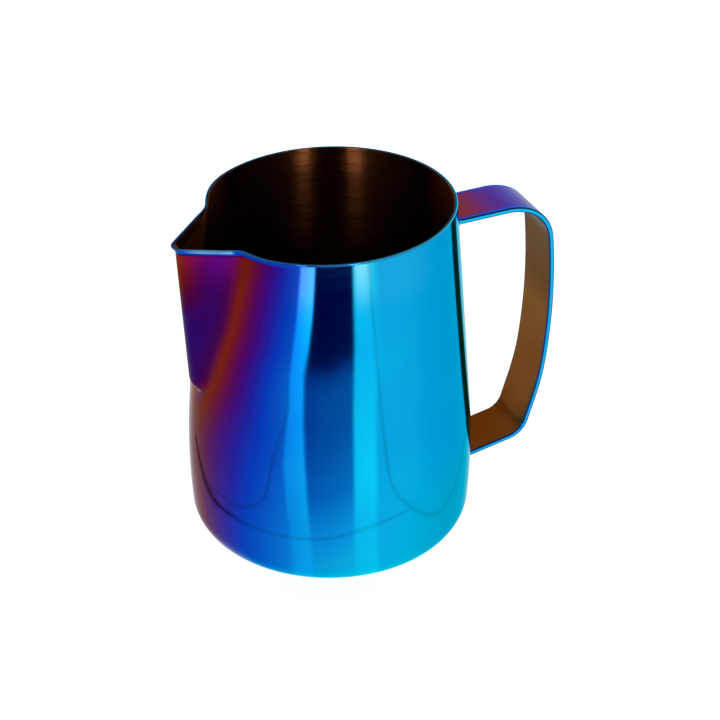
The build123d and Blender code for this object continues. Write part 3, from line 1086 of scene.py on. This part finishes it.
def studio_light(turn, z):
    """Colour of the light that reaches the viewer by way of the body, for white steel."""
    gap_soft = GAP_SOFTNESS - above(z, *GAP_SHARPER_ABOVE) + below(z, *GAP_SOFTER_BELOW)
    left_soft = LEFT_SOFTNESS + below(z, *LEFT_SOFTER_BELOW)
    right_soft = RIGHT_SOFTNESS + above(z, *RIGHT_SOFTER_ABOVE)
    past_left = edge(turn, from_table(LEFT_STRIP, z, 2), gap_soft)
    past_gap = edge(turn, from_table(RIGHT_STRIP, z, 1), GAP_SOFTNESS)
    in_left = edge(turn, from_table(LEFT_STRIP, z, 1), left_soft) * (1 - past_left)
    in_gap = past_left * (1 - past_gap)
    in_right = past_gap * (1 - edge(turn, from_table(RIGHT_STRIP, z, 2), right_soft))
    wedge_width = WEDGE_WIDTH + WEDGE_GROWTH * np.clip(z - WEDGE_LEVEL, 0, WEDGE_RISE)
    wedge = np.exp(-(((turn - WEDGE_TURN) / wedge_width) ** WEDGE_POWER))
    gap_level = z - GAP_TILT * np.clip(turn, *GAP_TURNS)

    blue = 1 - BLUE_LOSS * ramp(turn, *BLUE_LOSS_TURN)
    green = blue * (GREEN_SHARE - GREEN_LOSS * ramp(turn, *GREEN_LOSS_TURN))
    red = blue
    blue = blue + in_left * (from_table(LEFT_STRIP, z, 3) - blue)
    green = green + in_left * (from_table(LEFT_STRIP, z, 4) - green)
    red = red + in_left * (1 + from_table(TOP_RED, z, 1) - red)
    blue = blue + in_gap * (from_table(GAP, gap_level, 1) - blue)
    green = green + in_gap * (from_table(GAP, gap_level, 2) - green)
    red = red + in_gap * (from_table(GAP, gap_level, 2) - red)
    blue = blue + in_right * (from_table(RIGHT_STRIP, z, 3) - blue)
    green = green + in_right * (from_table(RIGHT_STRIP, z, 4) - green)
    red = red + in_right * (1 + from_table(TOP_RED, z, 2) * wedge - red)

    low_darkness = LOW_SEAM_DARKNESS + below(turn, *LOW_SEAM_DARKER)
    seams = np.maximum(RIGHT_SEAM_DARKNESS * near_seam(turn, z, RIGHT_SEAM),
                       LEFT_SEAM_DARKNESS * near_seam(turn, z, LEFT_SEAM))
    seams = np.maximum(seams, low_darkness * near_seam(turn, z, LOW_SEAM))
    kept = (1 - seams) * (1 - LEFT_LOSS * ramp(-turn, *LEFT_LOSS_TURN))
    light = np.stack([red, green, blue], axis=1) * kept[:, None]
    inside_card = below(np.abs(turn), *CARD_SIDES) * below(z, *CARD_TOP)
    return TABLE_GLOW + (light - TABLE_GLOW) * inside_card[:, None]


def glow_material(name):
    """Plain light whose colour is read from the card itself."""
    material = bpy.data.materials.new(name)
    material.use_nodes = True
    nodes = material.node_tree.nodes
    nodes.clear()
    read = nodes.new("ShaderNodeAttribute")
    read.attribute_name = "glow"
    emit = nodes.new("ShaderNodeEmission")
    out = nodes.new("ShaderNodeOutputMaterial")
    material.node_tree.links.new(read.outputs["Color"], emit.inputs["Color"])
    material.node_tree.links.new(emit.outputs["Emission"], out.inputs["Surface"])
    return material


def glow_card(name, points, faces, light, material):
    card = stage_mesh(name, points, faces, material)
    glow = card.data.attributes.new("glow", "FLOAT_COLOR", "POINT")
    colour = np.ones((len(points), 4), dtype=np.float32)
    colour[:, :3] = light
    glow.data.foreach_set("color", colour.ravel())
    gloss_only(card)


def build_table_glow():
    """Cards on the floor, seen only in the steel, that carry the lights and the dark parts."""
    material = glow_material("table_glow")
    plain = square(PLAIN_CARD_REACH, PLAIN_CARD_HEIGHT)
    glow_card("table_glow_plain", plain, [(0, 1, 2, 3)], TABLE_GLOW, material)
    turns = np.arange(-CARD_TURN, CARD_TURN, CARD_TURN_STEP)
    levels = np.concatenate([np.arange(*run) for run in CARD_LEVELS])
    turn, z = np.meshgrid(turns, levels, indexing="ij")
    turn = turn.ravel()
    z = z.ravel()
    points = mirrored_floor(np.radians(turn), z) * MM
    points[:, 2] = FRONT_CARD_HEIGHT * MM
    faces = []
    for i in range(len(turns) - 1):
        for j in range(len(levels) - 1):
            a = i * len(levels) + j
            faces.append((a, a + 1, a + len(levels) + 1, a + len(levels)))
    glow_card("table_glow_front", points, faces, studio_light(turn, z), material)


def build_low_glow():
    """Low curved card on the camera's side that draws the upright streaks inside the jug."""
    bearings = range(-LOW_GLOW_TURN, LOW_GLOW_TURN + 1)
    rows = len(LOW_GLOW_HEIGHTS)
    points = []
    light = []
    for bearing in bearings:
        out = TO_VIEWER * cos(radians(bearing)) + VIEW_RIGHT * sin(radians(bearing))
        for height, part in LOW_GLOW_HEIGHTS:
            points.append((out * LOW_GLOW_DISTANCE + Vector((0, 0, height))) * MM)
            light.append([float(from_table(LOW_GLOW, bearing, part))] * 3)
    faces = []
    for i in range(len(bearings) - 1):
        for j in range(rows - 1):
            a = i * rows + j
            faces.append((a, a + rows, a + rows + 1, a + 1))
    glow_card("low_glow", points, faces, light, glow_material("low_glow"))


bpy.context.scene.view_settings.view_transform = "Standard"
build_camera()
build_world()
build_floor()
build_table_glow()
build_low_glow()

outside = coated_steel("film_coated_steel", JUG_ROUGHNESS)
inside = brushed_inside("brushed_bronze_steel")
strap = coated_steel("film_coated_strap", STRAP_ROUGHNESS)
for label, value in STRAP_COAT:
    strap.node_tree.nodes["Principled BSDF"].inputs[label].default_value = value
strap_inside = coated_steel("film_coated_strap_inside", STRAP_INSIDE_ROUGHNESS, BRONZE_EDGE_TINTS)
weld = coated_steel("film_coated_weld", WELD_ROUGHNESS, fixed=(WELD_FILM, WELD_TONE))

build_jug(outside, inside)
build_strap(strap, strap_inside)
for node in ("upper_weld", "lower_weld"):
    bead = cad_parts[node]
    bead.data.materials.clear()
    bead.data.materials.append(weld)
